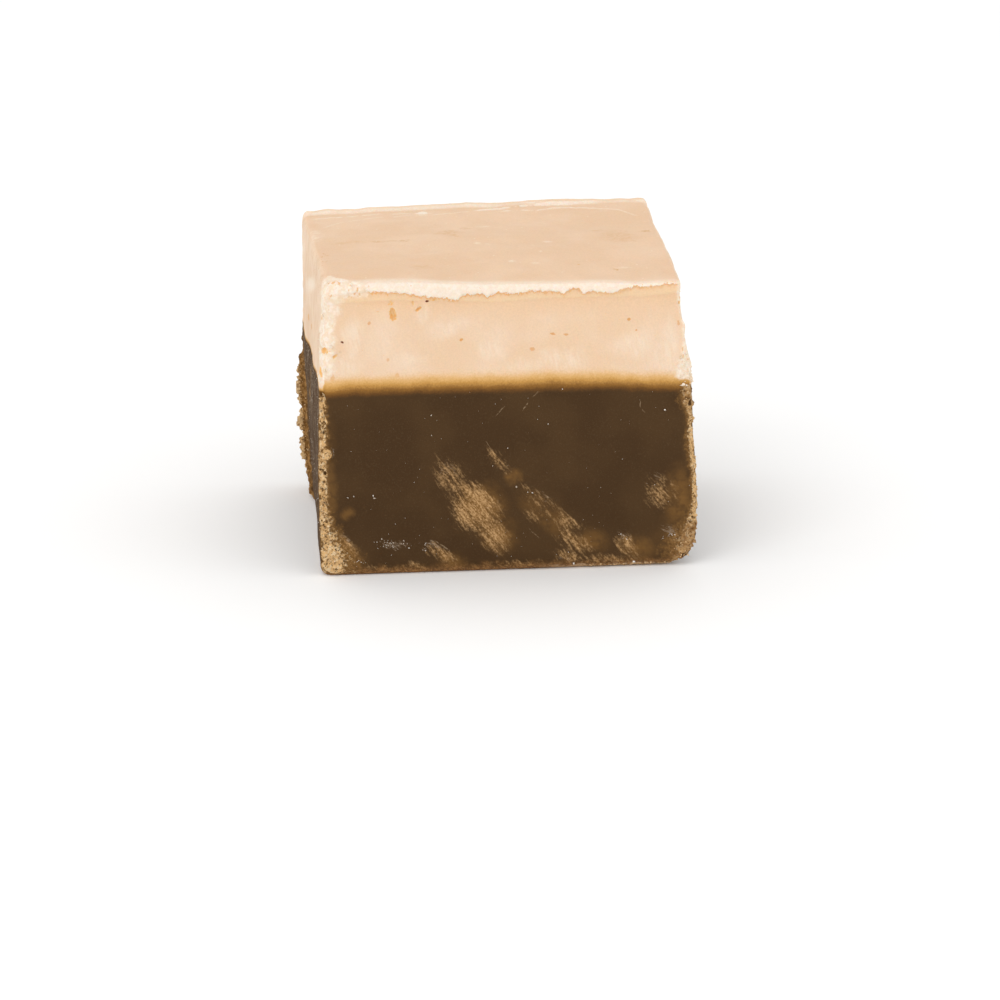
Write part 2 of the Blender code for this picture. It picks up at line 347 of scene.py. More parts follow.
def lip_weight(p):
    """The lip that the knife pushed up along the top front edge, with a ragged lower edge."""
    x, _, z = p.T
    edge = lip_edge(x)
    low_end = 0.35 + 0.65 * ease(x, -15.0, -12.5)
    return low_end * ease(z, edge - 0.05, edge + 0.1) * fade(p[:, 1] - FRONT, 0.2, 1.6)


def crease_weight(p):
    """The fuller band between the crease and the lip."""
    x, _, z = p.T
    crease = line_at(CREASE_LINE, x) + 0.05 * ragged(x, 1.2, 9.0)
    return ease(z, crease - 0.12, crease + 0.18) * fade(p[:, 1] - FRONT, 0.3, 1.4)


def ridge_weight(p):
    """The low ridge where the poured top met the tray wall."""
    back = side_distances(p)[3]
    height = 0.6 + 0.4 * ragged(p[:, 0], 5.0, 17.0)
    return np.maximum(0, height) * ease(p[:, 2], HEIGHT - 1.2, HEIGHT - 0.3) * fade(back, 0.64, 1.6)


def fin_weight(p):
    """The lumpy fin left on the back edges of the dark layer, where the cut met the tray wall."""
    left, right, _, back = side_distances(p)
    x, _, z = p.T
    free = np.maximum(0, 0.6 + 0.4 * ragged(z, 2.4, 3.0)) * ease(z, 0.4, 1.8) * fade(z, 11.0, 14.4)
    reach = np.where(x > 0, free, line_at(FIN_LINE, z) / 1.1 * (1 + 0.1 * ragged(z, 0.6, 11.0)))
    near_side = fade(np.minimum(left, right), 0.1, 0.9)
    near_back = fade(back + 0.5 * ragged(z, 0.9, 13.0), 0.9, 2.1)
    return np.clip(reach, 0, 1.2) * near_side * near_back * fade(z, 15.8, 16.8)


def crumb_weight(p):
    """One large crumb that clings to the front left edge."""
    away = np.linalg.norm((p - CRUMB_PLACE) / CRUMB_REACH, axis=1)
    return fade(away, 0.45, 1.1)


def hollow_weight(p):
    """A shallow hollow in the right side of the pale layer, towards the front."""
    _, right, front, _ = side_distances(p)
    z = p[:, 2]
    band = ease(z, 18.2, 20.6) * fade(z, 23.6, 25.9)
    return band * fade(right, 0.5, 3.5) * fade(front, 3.0, 12.0)


def pit_weight(p):
    """The torn pits in the pale front, deepest first."""
    x, y, z = p.T
    deep = np.zeros(len(p))
    wobble_x, wobble_z = ragged(z * 1.7 + x, 0.4, 21.0), ragged(x * 1.3 - z, 0.3, 23.0)
    for centre_x, centre_z, half_width, half_height, lean, depth in PITS:
        dx, dz = x - centre_x + 0.11 * wobble_x, z - centre_z + 0.11 * wobble_z
        across = (dx * math.cos(lean) + dz * math.sin(lean)) / half_width
        along = (dz * math.cos(lean) - dx * math.sin(lean)) / half_height
        deep = np.maximum(deep, depth * fade(np.hypot(across, along), 0.45, 1.1))
    return deep * fade(y - FRONT, 0.8, 1.6)


def pore_spots(p):
    """Places and radii of the pores in the crust: the measured ones, and many small ones at random."""
    spots = [((x, FRONT, z), radius) for x, z, radius in PORES]
    crusty = np.nonzero(crust_weight(p) > 0.7)[0]
    for index in rng.choice(crusty, min(SMALL_PORE_COUNT, len(crusty)), replace=False):
        spots.append((tuple(p[index]), 0.08 + 0.09 * rng.random() ** 2))
    return spots


def pore_weight(p, spots):
    """How deep each point lies in a pore."""
    near = np.nonzero(crust_weight(p) > 0.03)[0]
    tree = KDTree(len(near))
    for index in near:
        tree.insert(p[index], int(index))
    tree.balance()
    depth = np.zeros(len(p))
    for place, radius in spots:
        for _, index, away in tree.find_range(place, radius * 1.5):
            depth[index] = max(depth[index], radius * (1 - away / radius / 1.5) ** 0.6)
    return depth


def chalk_weight(p):
    """The chalky, torn upright edges of the pale layer, and the top beside the front left corner."""
    left, right, front, back = side_distances(p)
    x, y, z = p.T
    by_seam = fade(z, SEAM_HEIGHT + 1.5, SEAM_HEIGHT + 4.0)
    reach = np.where(x < 0, 1.25, 0.55 + 0.8 * by_seam) * (1 + 0.4 * ragged(z + 0.4 * y, 2.2, 31.0))
    side_reach = np.where((x < 0) & (y < 0), 2.6, 0.8) * (1 + 0.5 * ragged(z, 1.6, 32.0))
    near_side = fade(np.minimum(left, right), reach * 0.35, reach * 1.4)
    near_end = fade(np.minimum(front, back), side_reach * 0.5, side_reach * 1.5)
    upright = near_side * near_end * ease(z, seam_at(x, y) + 0.2, seam_at(x, y) + 1.0)
    corner_reach = np.interp(x, (-16.5, -15.4, -14.4, -13.0, -11.5), (1.6, 2.4, 1.2, 0.35, -0.6))
    from_front = front + 0.3 * ragged(x, 0.5, 33.0)
    corner = fade(from_front, corner_reach - 0.25, corner_reach + 0.25) * ease(z, 25.0, 25.6)
    return np.maximum(upright, corner * fade(x, -12.5, -11.5))


def fold_weight(p):
    """Raised folds in the skin of the poured top."""
    x, y, z = p.T
    high = np.zeros(len(p))
    wander = 0.25 * ragged(x, 2.0, 41.0)
    broken = ease(0.35 + ragged(x, 1.3, 43.0), 0.0, 0.3)
    for half_width, height, points in FOLDS:
        first, last = points[0][0], points[-1][0]
        ends = ease(x, first - 0.5, first + 0.5) * fade(x, last - 0.5, last + 0.5)
        away = np.abs(y - line_at(points, x) + wander)
        high = np.maximum(high, height * ends * broken * fade(away, 0.3 * half_width, half_width))
    return high * ease(z, 25.4, 25.9)


def relief(block, name, weights, strength, hills=None, direction="NORMAL", middle=0.5):
    """Pushes the marked places out by strength, or gives them hills and hollows of this size."""
    group = block.vertex_groups.new(name=name)
    for index in np.nonzero(weights > 0.002)[0]:
        group.add([int(index)], float(weights[index]), "REPLACE")
    modifier = block.modifiers.new(name, "DISPLACE")
    modifier.vertex_group = name
    modifier.strength = strength
    modifier.direction = direction
    modifier.mid_level = middle if hills else 0.0
    if hills:
        modifier.texture = bpy.data.textures.new(name, "CLOUDS")
        modifier.texture.noise_scale = hills
        modifier.texture.noise_depth = 1


def rough_block():
    """The whole block with its swells, lip, folds, fins, pits, chalky edges and crumbly crust."""
    block = plain_block()
    p = points_of(block)
    faces, crust, chalk, fin = ease(p[:, 2], 0.0, 1.5), crust_weight(p), chalk_weight(p), fin_weight(p)
    lumps = np.maximum(crust, ease(fin, 0.05, 0.4))
    relief(block, "swell", faces, 0.7, hills=11.0)
    relief(block, "dimple", faces, 0.16, hills=2.6)
    relief(block, "hollow", hollow_weight(p), -0.32)
    relief(block, "crease", crease_weight(p), -0.1, direction="Y")
    relief(block, "lip", lip_weight(p), -0.22, direction="Y")
    relief(block, "ridge", ridge_weight(p), 0.5, direction="Z")
    relief(block, "folds", fold_weight(p), 1.0, direction="Z")
    relief(block, "fin", fin, 1.15)
    relief(block, "fin_lumps", np.clip(fin / 0.5, 0, 1), 1.2, hills=0.85, middle=0.66)
    relief(block, "crumb", crumb_weight(p), 0.6)
    relief(block, "crust", lumps, 0.5, hills=0.75)
    relief(block, "crust_grain", lumps, 0.26, hills=0.28)
    relief(block, "chalk", chalk, 0.36, hills=1.3)
    relief(block, "chalk_grain", chalk, 0.06, hills=0.35)
    relief(block, "pits", pit_weight(p), 0.5, direction="Y")
    spots = pore_spots(p)
    relief(block, "pores", pore_weight(p, spots), -1.0)
    for name in [modifier.name for modifier in block.modifiers]:
        pick_only(block)
        bpy.ops.object.modifier_apply(modifier=name)
    return block, spots


# The two layers, parted along the seam

def seam_slab():
    """A slab that reaches from the seam to well above the cube."""
    pick_only()
    bpy.ops.mesh.primitive_grid_add(x_subdivisions=SEAM_STEPS, y_subdivisions=SEAM_STEPS, size=DEPTH * 1.5)
    slab = bpy.context.object
    slab.name = "seam_slab"
    for vert in slab.data.vertices:
        vert.co.z = float(seam_at(np.array([vert.co.x]), np.array([vert.co.y]))[0])
    edit(slab)
    bpy.ops.mesh.select_all(action="SELECT")
    bpy.ops.mesh.extrude_region_move(TRANSFORM_OT_translate={"value": (0, 0, SLAB_HEIGHT)})
    bpy.ops.mesh.select_all(action="SELECT")
    bpy.ops.mesh.normals_make_consistent(inside=False)
    pick_only(slab)
    return slab


def part_layers(block, slab):
    """Cuts the block along the seam and levels its foot."""
    edit(block)
    bpy.ops.mesh.select_all(action="SELECT")
    bpy.ops.mesh.bisect(plane_co=(0, 0, 0), plane_no=(0, 0, 1), use_fill=True, clear_inner=True)
    pick_only(block)
    layers = []
    for name, operation in (("pale_fudge_layer", "INTERSECT"), ("dark_fudge_layer", "DIFFERENCE")):
        layer = block.copy()
        layer.data = block.data.copy()
        layer.name = layer.data.name = name
        bpy.context.scene.collection.objects.link(layer)
        finish_with(layer, "BOOLEAN", operation=operation, object=slab, solver="MANIFOLD")
        layer.data.calc_loop_triangles()
        share = LAYER_TRIANGLES / len(layer.data.loop_triangles)
        if share < 1:
            finish_with(layer, "DECIMATE", ratio=share, use_collapse_triangulate=True)
        layer.vertex_groups.clear()
        layers.append(layer)
    for done in (block, slab):
        bpy.data.objects.remove(done)
    return layers


def keep_inside(obj):
    """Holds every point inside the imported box."""
    p = np.clip(points_of(obj), BOX_LOW + 0.01, BOX_HIGH - 0.01)
    obj.data.vertices.foreach_set("co", p.ravel())
    obj.data.update()


def note(obj, name, values):
    """Keeps a value for each point, for the finish to read."""
    attribute = obj.data.attributes.new(name, "FLOAT", "POINT")
    attribute.data.foreach_set("value", np.asarray(values, np.float32))


def note_places(layer, spots):
    """Writes on the layer where its crust, lip, pits and other finishes lie."""
    p = points_of(layer)
    x, y, z = p.T
    left, right, front, _ = side_distances(p)
    normal = np.empty(len(p) * 3)
    layer.data.vertices.foreach_get("normal", normal)
    across, forward, up = normal.reshape(-1, 3).T * [[1], [-1], [1]]
    side = ease(np.abs(across), 0.55, 0.8)
    rise = z - seam_at(x, y)
    front_edge = 0.6 * fade(front, 0.1, 1.3)
    for name, values in {
        "seam_rise": rise * (1 + 3.0 * side),
        "side": side,
        "top": ease(up, 0.6, 0.95),
        "front": fade(front, 0.5, 2.0),
        "facing": np.maximum(ease(forward, 0.08, 0.6), front_edge * ease(up, 0.3, 0.6)),
        "crust": np.minimum(crust_depth(p), 2 * crust_limit(p) - 1),
        "lip_rise": np.clip(z - lip_edge(x), -1.5, 1.5),
        "crease": crease_weight(p) * ease(forward, 0.5, 0.8),
        "chalk": chalk_weight(p),
        "pit": np.clip(pit_weight(p) / 0.3, 0, 1),
        "fold": np.clip(fold_weight(p) / 0.06, 0, 1),
        "pore": np.clip(pore_weight(p, spots) / 0.12, 0, 1),
        "fin": ease(fin_weight(p), 0.03, 0.25),
        "fin_tip": ease(-np.minimum(left, right), 0.2, 0.9),
    }.items():
        note(layer, name, values)


def to_metres(obj):
    """Brings an object from millimetres to metres."""
    pick_only(obj)
    obj.scale = (MM, MM, MM)
    bpy.ops.object.transform_apply(location=True, rotation=True, scale=True)


# Crumbs, specks and flakes, each a small closed grain

def grain_shape(subdivisions, roughness, seed, flat=1.0):
    """One grain about 1 across: points and triangles."""
    pick_only()
    bpy.ops.mesh.primitive_ico_sphere_add(subdivisions=subdivisions, radius=0.5)
    grain = bpy.context.object
    points = points_of(grain)
    push = np.array([noise.noise(Vector(point) * 2.3 + Vector((seed, 0, 0))) for point in points])
    points = points * (1 + roughness * push[:, None]) * (1, 1, flat)
    triangles = np.array([polygon.vertices[:] for polygon in grain.data.polygons])
    bpy.data.objects.remove(grain)
    return points, triangles


def random_turns(count):
    """Turning matrices, evenly spread over all directions."""
    q = rng.normal(size=(count, 4))
    w, x, y, z = (q / np.linalg.norm(q, axis=1)[:, None]).T
    return np.stack([
        np.stack([1 - 2 * (y * y + z * z), 2 * (x * y - z * w), 2 * (x * z + y * w)], 1),
        np.stack([2 * (x * y + z * w), 1 - 2 * (x * x + z * z), 2 * (y * z - x * w)], 1),
        np.stack([2 * (x * z - y * w), 2 * (y * z + x * w), 1 - 2 * (x * x + y * y)], 1),
    ], 1)


def within_box(places, sizes):
    """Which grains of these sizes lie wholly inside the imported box."""
    reach = sizes[:, None] * GRAIN_REACH
    return np.all((places > BOX_LOW + reach) & (places < BOX_HIGH - reach), axis=1)


def scatter(name, shapes, places, sizes):
    """One piece of many grains inside the box: each a shape at its place, turned and sized at random."""
    keep = within_box(places, sizes)
    places, sizes = places[keep], sizes[keep]
    count = len(places)
    kinds = rng.integers(0, len(shapes), count)
    turns = random_turns(count)
    scales = sizes[:, None] * rng.uniform(1 - GRAIN_STRETCH, 1 + GRAIN_STRETCH, (count, 3))
    shade = rng.random(count)
    points, faces, shades, offset = [], [], [], 0
    for kind, turn, scale, place, tone in zip(kinds, turns, scales, places, shade):
        shape, triangles = shapes[kind]
        made = (shape * scale) @ turn.T + place
        points.append(made)
        faces.append(triangles + offset)
        shades.append(np.full(len(made), tone))
        offset += len(made)
    mesh = bpy.data.meshes.new(name)
    mesh.from_pydata(np.concatenate(points).tolist(), [], np.concatenate(faces).tolist())
    piece = bpy.data.objects.new(name, mesh)
    bpy.context.scene.collection.objects.link(piece)
    note(piece, "shade", np.concatenate(shades))
    mesh.shade_smooth()
    return piece


def spots_on(layer, density, count):
    """Points on the layer's faces with their outward directions, more of them where density is high."""
    mesh = layer.data
    mesh.calc_loop_triangles()
    corners = np.empty(len(mesh.loop_triangles) * 3, np.int32)
    mesh.loop_triangles.foreach_get("vertices", corners)
    corners = corners.reshape(-1, 3)
    p = points_of(layer)
    a, b, c = (p[corners[:, k]] for k in range(3))
    cross = np.cross(b - a, c - a)
    area = np.linalg.norm(cross, axis=1)
    weight = area * density[corners].mean(1)
    chosen = rng.choice(len(corners), count, p=weight / weight.sum())
    u, v = rng.random((2, count))
    u, v = np.where(u + v > 1, 1 - u, u), np.where(u + v > 1, 1 - v, v)
    place = a[chosen] + (b - a)[chosen] * u[:, None] + (c - a)[chosen] * v[:, None]
    return place, cross[chosen] / np.maximum(area[chosen], 1e-12)[:, None]


def spots_in_front(layer, marks):
    """Points on the layer's front at these x and heights, with their outward directions."""
    tree = BVHTree.FromObject(layer, bpy.context.evaluated_depsgraph_get())
    places, ways = [], []
    for x, z in marks:
        place, way, _, _ = tree.ray_cast(Vector((x, -30, z)), Vector((0, 1, 0)))
        if place:
            places.append(place[:])
            ways.append(way[:])
    return np.array(places), np.array(ways)


# Finishes

# How bright a white surface shows under the studio light, and the sheen it leaves on the dark fudge
LIGHT_LEVEL, DARK_SHEEN = 1.12, 0.006
# How far light spreads under the pale surface: shares of red, green and blue, and millimetres
GLOW_REACH, GLOW_DEPTH = (1.0, 0.55, 0.3), 0.8
# How deep under each face its ovals reach
FRONT_REACH, LEFT_REACH, TOP_REACH = 2.5, 2.0, 3.0


def shown(red, green, blue, sheen=0.0):
    """The colour of a surface that shows as this red, green and blue under the studio light."""
    share = np.array((red, green, blue)) / 255
    linear = np.where(share <= 0.04045, share / 12.92, ((share + 0.055) / 1.055) ** 2.4)
    return (*np.clip((linear - sheen) / LIGHT_LEVEL, 0.002, 0.95), 1.0)


def ready(colour):
    """Three numbers are the colour that shows; anything else is ready to use."""
    return shown(*colour) if isinstance(colour, tuple) and len(colour) == 3 else colour


class Finish:
    """A material under construction. Places are read in millimetres on the object."""

    def __init__(self, name, roughness, gloss, glow=0.0):
        self.material = bpy.data.materials.new(name)
        self.material.use_nodes = True
        self.tree = self.material.node_tree
        self.shader = self.tree.nodes["Principled BSDF"]
        self.put_in("Roughness", roughness)
        self.put_in("Specular IOR Level", gloss)
        if glow:
            self.put_in("Subsurface Weight", glow)
            self.put_in("Subsurface Radius", GLOW_REACH)
            self.put_in("Subsurface Scale", GLOW_DEPTH * MM)
        on_object = self.node("TexCoord", {}, "Object")
        self.place = self.node("VectorMath", {0: on_object, "Scale": 1 / MM}, operation="SCALE")

    def put(self, socket, value):
        """Gives a socket a number or colour, or links another node's output to it."""
        if isinstance(value, bpy.types.NodeSocket):
            self.tree.links.new(value, socket)
        else:
            socket.default_value = value

    def put_in(self, name, value):
        """The same for one of the shader's own sockets."""
        self.put(self.shader.inputs[name], value)

    def node(self, kind, inputs, output=0, **settings):
        """Adds a node with these settings and inputs, and hands on one of its outputs."""
        node = self.tree.nodes.new("ShaderNode" + kind)
        for name, value in settings.items():
            setattr(node, name, value)
        for name, value in inputs.items():
            self.put(node.inputs[name], value)
        return node.outputs[output]

    def vector(self, operation, a, b):
        return self.node("VectorMath", {0: a, 1: b}, operation=operation)

    def math(self, operation, a, b, clamp=False):
        return self.node("Math", {0: a, 1: b}, operation=operation, use_clamp=clamp)

    def sum(self, *terms):
        """Adds values; a pair is a value and its factor."""
        total = None
        for term in terms:
            part = self.math("MULTIPLY", *term) if isinstance(term, tuple) else term
            total = part if total is None else self.math("ADD", total, part)
        return total

    def product(self, *values):
        """Multiplies values."""
        total = values[0]
        for value in values[1:]:
            total = self.math("MULTIPLY", total, value)
        return total

    def most(self, *values):
        """The largest of several values."""
        best = values[0]
        for value in values[1:]:
            best = self.math("MAXIMUM", best, value)
        return best

    def turned(self, centre=(0, 0, 0), turn=(0, 0, 0), size=(1, 1, 1), place=None):
        """Places seen from a centre, along turned axes, in units of size."""
        inputs = {"Vector": place or self.place, "Location": centre, "Rotation": turn, "Scale": size}
        return self.node("Mapping", inputs, vector_type="TEXTURE")

    def noise(self, size, detail=3.0, rough=0.5, turn=(0, 0, 0), stretch=(1, 1, 1), output="Fac"):
        """Soft noise of this grain size, drawn out along turned axes; about 0.5 on average."""
        place = self.turned(turn=turn, size=stretch)
        inputs = {"Vector": place, "Scale": 1 / size, "Detail": detail, "Roughness": rough}
        return self.node("TexNoise", inputs, output)

    def warped(self, size, amount, turn=(0, 0, 0), stretch=(1, 1, 1)):
        """Places pushed about by noise of this size."""
        noise_colour = self.noise(size, 3.0, 0.6, turn, stretch, output="Color")
        push = self.vector("SUBTRACT", noise_colour, (0.5, 0.5, 0.5))
        return self.vector("ADD", self.place, self.vector("MULTIPLY", push, (amount, amount, amount)))

    def cells(self, size, output="Distance"):
        """Cells of this size: the distance to the middle of the nearest one, or its own colour."""
        return self.node("TexVoronoi", {"Vector": self.place, "Scale": 1 / size}, output)

    def ease(self, value, low, high, start=0.0, end=1.0):
        """The start below low, the end above high, and a smooth step between them."""
        inputs = {"Value": value, "From Min": low, "From Max": high, "To Min": start, "To Max": end}
        return self.node("MapRange", inputs, interpolation_type="SMOOTHSTEP")

    def patches(self, size, low, high, start=0.0, end=1.0, detail=3.0, rough=0.5, stretch=(1, 1, 1)):
        """Soft noise of this grain size, eased into patches."""
        return self.ease(self.noise(size, detail, rough, stretch=stretch), low, high, start, end)

    def noted(self, name):
        """A value that was kept for each point."""
        return self.node("Attribute", {}, "Fac", attribute_name=name)

    def axis(self, index, vector=None):
        """One coordinate of the place, or of another vector."""
        return self.node("SeparateXYZ", {0: vector or self.place}, index)

    def mix(self, share, a, b, blend="MIX"):
        """Colour a, and colour b where the share is high."""
        inputs = {0: share, 6: ready(a), 7: ready(b)}
        return self.node("Mix", inputs, 2, data_type="RGBA", blend_type=blend)

    def lay(self, under, over, *shares):
        """Lays a colour over another one, where all the shares are high."""
        return self.mix(self.product(*shares), under, over)

    def between(self, value, low, high, a, b):
        """Colour a where the value is low, colour b where it is high."""
        return self.mix(self.ease(value, low, high), a, b)

    def shaded(self, colour, shade):
        """The colour made lighter or darker by a factor."""
        return self.mix(1.0, colour, self.node("CombineXYZ", {0: shade, 1: shade, 2: shade}), "MULTIPLY")

    def ramp(self, value, stops):
        """Colours at values between 0 and 1."""
        colour = self.node("ValToRGB", {"Fac": value}, "Color")
        elements = colour.node.color_ramp.elements
        while len(elements) < len(stops):
            elements.new(0.5)
        for element, (position, tone) in zip(elements, stops):
            element.position = position
            element.color = tone
        return colour

    def oval(self, centre, turn, size, place=None):
        """1 in the middle of a turned oval, falling to 0 at its rim."""
        place = self.turned(centre, turn, size, place)
        return self.node("TexGradient", {"Vector": place}, "Fac", gradient_type="SPHERICAL")

    def ovals(self, face, marks, full, place):
        """The most of several ovals on a face: place on it, half sizes, lean and strength of each."""
        made = []
        for across, up, length, width, lean, strength in marks:
            centre, turn, size = {
                "front": ((across, FRONT, up), (0, lean, 0), (length, FRONT_REACH, width)),
                "left": ((BASE[0] + 0.5, across, up), (lean, 0, 0), (LEFT_REACH, length, width)),
                "top": ((across, up, HEIGHT), (0, 0, lean), (length, width, TOP_REACH)),
            }[face]
            made.append(self.ease(self.oval(centre, turn, size, place), 0.0, full, 0.0, strength))
        return self.most(*made)

    def specks(self, size, radius, share):
        """Scattered round specks: distance between them, radius, and the share of them that show."""
        near = self.ease(self.cells(size), radius * 0.5 / size, radius / size, 1.0, 0.0)
        return self.product(near, self.ease(self.axis(0, self.cells(size, "Color")), 1 - share, 1.02 - share))

    def bump(self, *reliefs):
        """Fine relief, one kind over another: heights of 0 to 1, each with its depth in millimetres."""
        under = {}
        for height, depth in reliefs:
            inputs = {"Strength": 1.0, "Distance": depth * MM, "Height": height}
            normal = self.node("Bump", inputs | under)
            under = {"Normal": normal}
        self.put_in("Normal", normal)

    def give(self, obj):
        """Puts the finish on an object."""
        obj.data.materials.clear()
        obj.data.materials.append(self.material)


# Colours of the seam from the dark layer up into the pale one: rise in millimetres and colour
SEAM_COLOURS = [
    (-0.75, shown(77, 56, 35, DARK_SHEEN)), (-0.35, shown(109, 74, 38, DARK_SHEEN)),
    (0.0, shown(151, 105, 46)), (0.35, shown(200, 148, 74)), (0.66, shown(225, 176, 108)),
    (0.97, shown(236, 191, 134)), (1.6, shown(243, 208, 166)),
]
SEAM_LOW, SEAM_HIGH = -1.0, 2.0


def seam_colour(finish):
    """The blurred colours of the seam, and the rise above it that they are read at."""
    drift = finish.sum((finish.noise(1.6), 0.5), (finish.noise(0.15, 2.0), 0.35))
    rise = finish.sum(finish.noted("seam_rise"), finish.math("SUBTRACT", drift, 0.425))
    stops = [((at - SEAM_LOW) / (SEAM_HIGH - SEAM_LOW), colour) for at, colour in SEAM_COLOURS]
    above_low = finish.math("SUBTRACT", rise, SEAM_LOW)
    return finish.ramp(finish.math("DIVIDE", above_low, SEAM_HIGH - SEAM_LOW, clamp=True), stops), rise


# Every mark here is an oval on a face: place on it, half sizes, lean and strength.
# Soft whitish clouds on the pale front
CLOUDS = [
    (-10.8, 24, 1.5, 1, 0, 0.7), (-7.4, 23.8, 1.4, 1.3, 0.3, 0.8), (-5, 22.2, 2.4, 1.2, -0.3, 0.45),
    (-13.6, 21.5, 1.2, 3.4, 0.1, 0.6), (-14.6, 19, 2.2, 1.4, 0, 0.55), (4.6, 19.2, 3, 1.6, 0.1, 0.6),
    (-1.5, 20.3, 2, 1.4, 0, 0.45), (11, 20.5, 2.6, 1.8, 0, 0.5), (14.2, 20, 1, 4, 0, 0.5),
    (-8.5, 19.6, 2.4, 1, 0, 0.4), (1.5, 18.9, 2.6, 0.9, 0, 0.4),
]
# Small orange marks and dark specks on the pale front
MARKS = [
    (-4.09, 21.22, 0.16, 0.14, 0, 1), (3.86, 21.57, 0.3, 0.14, 0.1, 0.9), (5.02, 21.5, 0.26, 0.13, 0, 0.8),
    (2.08, 20.26, 0.3, 0.24, 0, 0.7), (10.54, 22.72, 0.22, 0.16, 0, 1), (11.15, 21.72, 0.16, 0.13, 0, 0.8),
    (-12.09, 22.99, 0.2, 0.17, 0, 0.7), (-10.46, 19.62, 0.2, 0.2, 0, 0.5),
    (-9.69, 18.19, 0.22, 0.3, 0.2, 0.7), (8.08, 17.82, 0.2, 0.2, 0, 0.5), (-15.3, 18, 0.2, 0.4, 0.3, 0.7),
    (14.9, 22.2, 0.16, 0.3, 0, 0.6),
]
DARK_SPECKS = [
    (-14.46, 21.34, 0.17, 0.12, 0.5, 1), (-7.07, 24.79, 0.15, 0.13, 0, 1), (2.8, 17.96, 0.1, 0.1, 0, 0.7),
]
# White and brownish patches on the poured top
POURED_WHITES = [
    (-0.26, 6.04, 0.9, 0.7, 0, 0.9), (-1.5, -1.5, 0.5, 0.6, 0, 0.7), (-0.6, -1.9, 0.4, 0.5, 0, 0.7),
    (1.02, -7.69, 0.5, 0.5, 0, 0.8), (3.06, -8.4, 0.6, 0.5, 0, 0.6), (3.84, -4.62, 0.25, 0.4, 0, 0.8),
    (4.9, -1, 0.7, 0.5, 0, 0.6), (-5.3, 11.6, 0.8, 1, 0, 1), (-15.9, 4.5, 1.3, 4, 0, 0.7),
    (10.6, -9.6, 1, 0.4, 0, 0.5), (3.4, -2.4, 0.2, 0.3, 0, 0.7), (2.1, -3, 0.15, 0.3, 0, 0.7),
]
SMUDGES = [
    (-9.4, 0.8, 3.2, 0.5, 0, 0.55), (-7.9, 0.8, 0.9, 0.6, 0, 0.8), (-3.7, 3.2, 1.6, 1.8, 0, 0.6),
    (-3.2, 1.6, 0.7, 0.6, 0, 0.9), (14.3, 2.7, 0.8, 0.6, 0, 1), (11.5, 1, 2.2, 3, 0, 0.4),
    (9.9, 3, 0.8, 0.6, 0, 0.5), (-13, 1, 2.2, 0.7, 0, 0.35), (9.97, -10.1, 0.2, 0.3, 0, 1),
    (-7, -9.5, 2, 1.2, 0, 0.35), (12.4, -0.9, 0.8, 0.5, 0, 0.5), (-2, 5.2, 0.6, 0.8, 0, 0.6),
]
# Pale drags, and orange-brown grooves that are painted shade of shallow dips, on the left side
SIDE_DRAGS = [(1, 22.6, 7.5, 0.9, -0.25, 0.8), (11, 23.5, 3, 0.8, -0.3, 0.5)]
SIDE_GROOVES = [
    (8, 21, 1.5, 0.75, -0.3, 1), (3.5, 18.9, 1.2, 0.6, -0.3, 1), (0.5, 18.8, 1.2, 0.6, -0.3, 1),
    (9, 18, 1.6, 0.4, -0.3, 0.7),
]
# Brown freckles on the pale layer's upper left edge: middle and half sizes of their patch
FRECKLE_PLACE, FRECKLE_REACH = (-16.2, -5.0, 25.6), (1.7, 8.0, 2.4)


